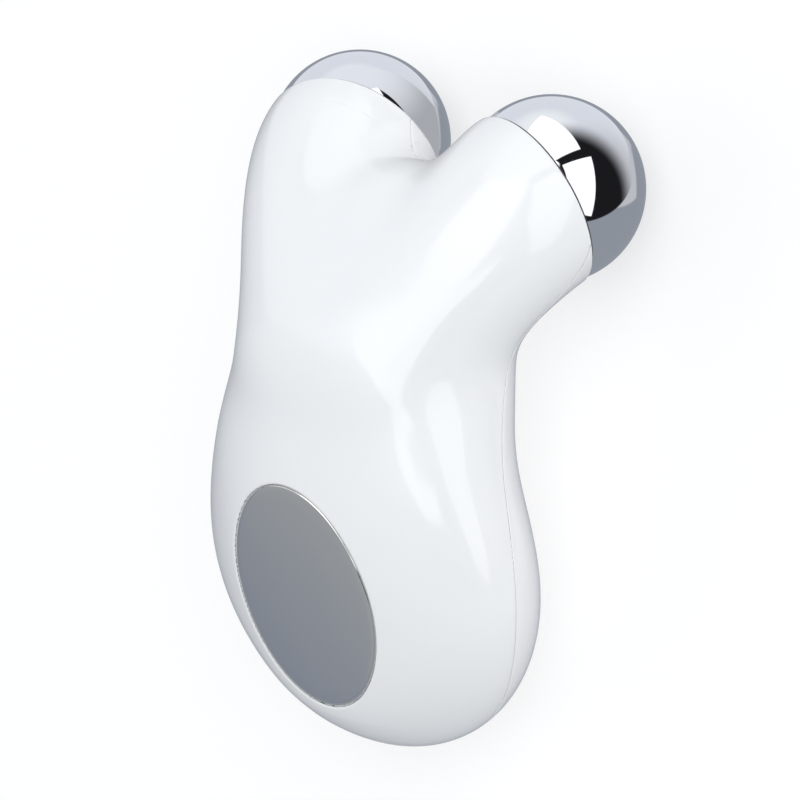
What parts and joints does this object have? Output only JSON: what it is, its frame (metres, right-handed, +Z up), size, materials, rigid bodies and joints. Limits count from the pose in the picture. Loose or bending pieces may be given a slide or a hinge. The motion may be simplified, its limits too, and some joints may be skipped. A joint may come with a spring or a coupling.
{
  "type": "facial toning device",
  "caption": "Handheld facial toning device: a bent Y-shaped glossy housing with polished ball electrodes on its arms and a large oval press button on the handle.",
  "frame": {"origin": "centre of the footprint on the table, with the device lying on its back on both balls and the heel of its handle", "axes": "+Z up from the table, through the front face with the button; +Y from the handle's end to the ball electrodes; X across, with the device symmetric about X = 0"},
  "size_m": [0.0678, 0.109, 0.0473],
  "materials": {
    "shell_white": "gloss",
    "shell_rear": "gloss",
    "chrome": "mirror",
    "plate_chrome": "mirror",
    "inner_plastic": "matte",
    "seal_rubber": "matte",
    "terminal_brass": "satin",
    "screw_steel": "satin",
    "lead_blue": "satin",
    "lead_red": "satin",
    "switch_black": "matte",
    "board_green": "satin",
    "chip_black": "matte",
    "coil_ferrite": "matte",
    "capacitor_tan": "matte",
    "receptacle_steel": "satin",
    "cell_foil": "satin",
    "foam_ivory": "matte",
    "plug_ivory": "matte"
  },
  "bodies": {
    "housing": {"front_shell": "shell_white", "rear_shell": "shell_rear", "left_ball": "chrome", "right_ball": "chrome", "left_socket": "inner_plastic", "right_socket": "inner_plastic", "left_seal": "seal_rubber", "right_seal": "seal_rubber", "left_terminal": "terminal_brass", "right_terminal": "terminal_brass", "electrode_screws": "screw_steel", "left_lead": "lead_blue", "right_lead": "lead_red", "switch_body": "switch_black", "main_board": "board_green", "board_screws": "screw_steel", "control_chip": "chip_black", "boost_coil": "coil_ferrite", "capacitors": "capacitor_tan", "charge_socket": "receptacle_steel", "battery_cell": "cell_foil", "battery_foam": "foam_ivory", "battery_plug": "plug_ivory", "battery_leads": "lead_red"},
    "button": {"button_cap": "plate_chrome", "button_carrier": "inner_plastic", "switch_stem": "switch_black"}
  },
  "joints": [
    {"name": "button_press", "type": "slide", "parent": "housing", "child": "button", "axis": [0, 0.4185, -0.9082], "range_m": [0, 0.0006], "stiffness_N_per_m": 2500, "springref_m": -0.0004}
  ]
}
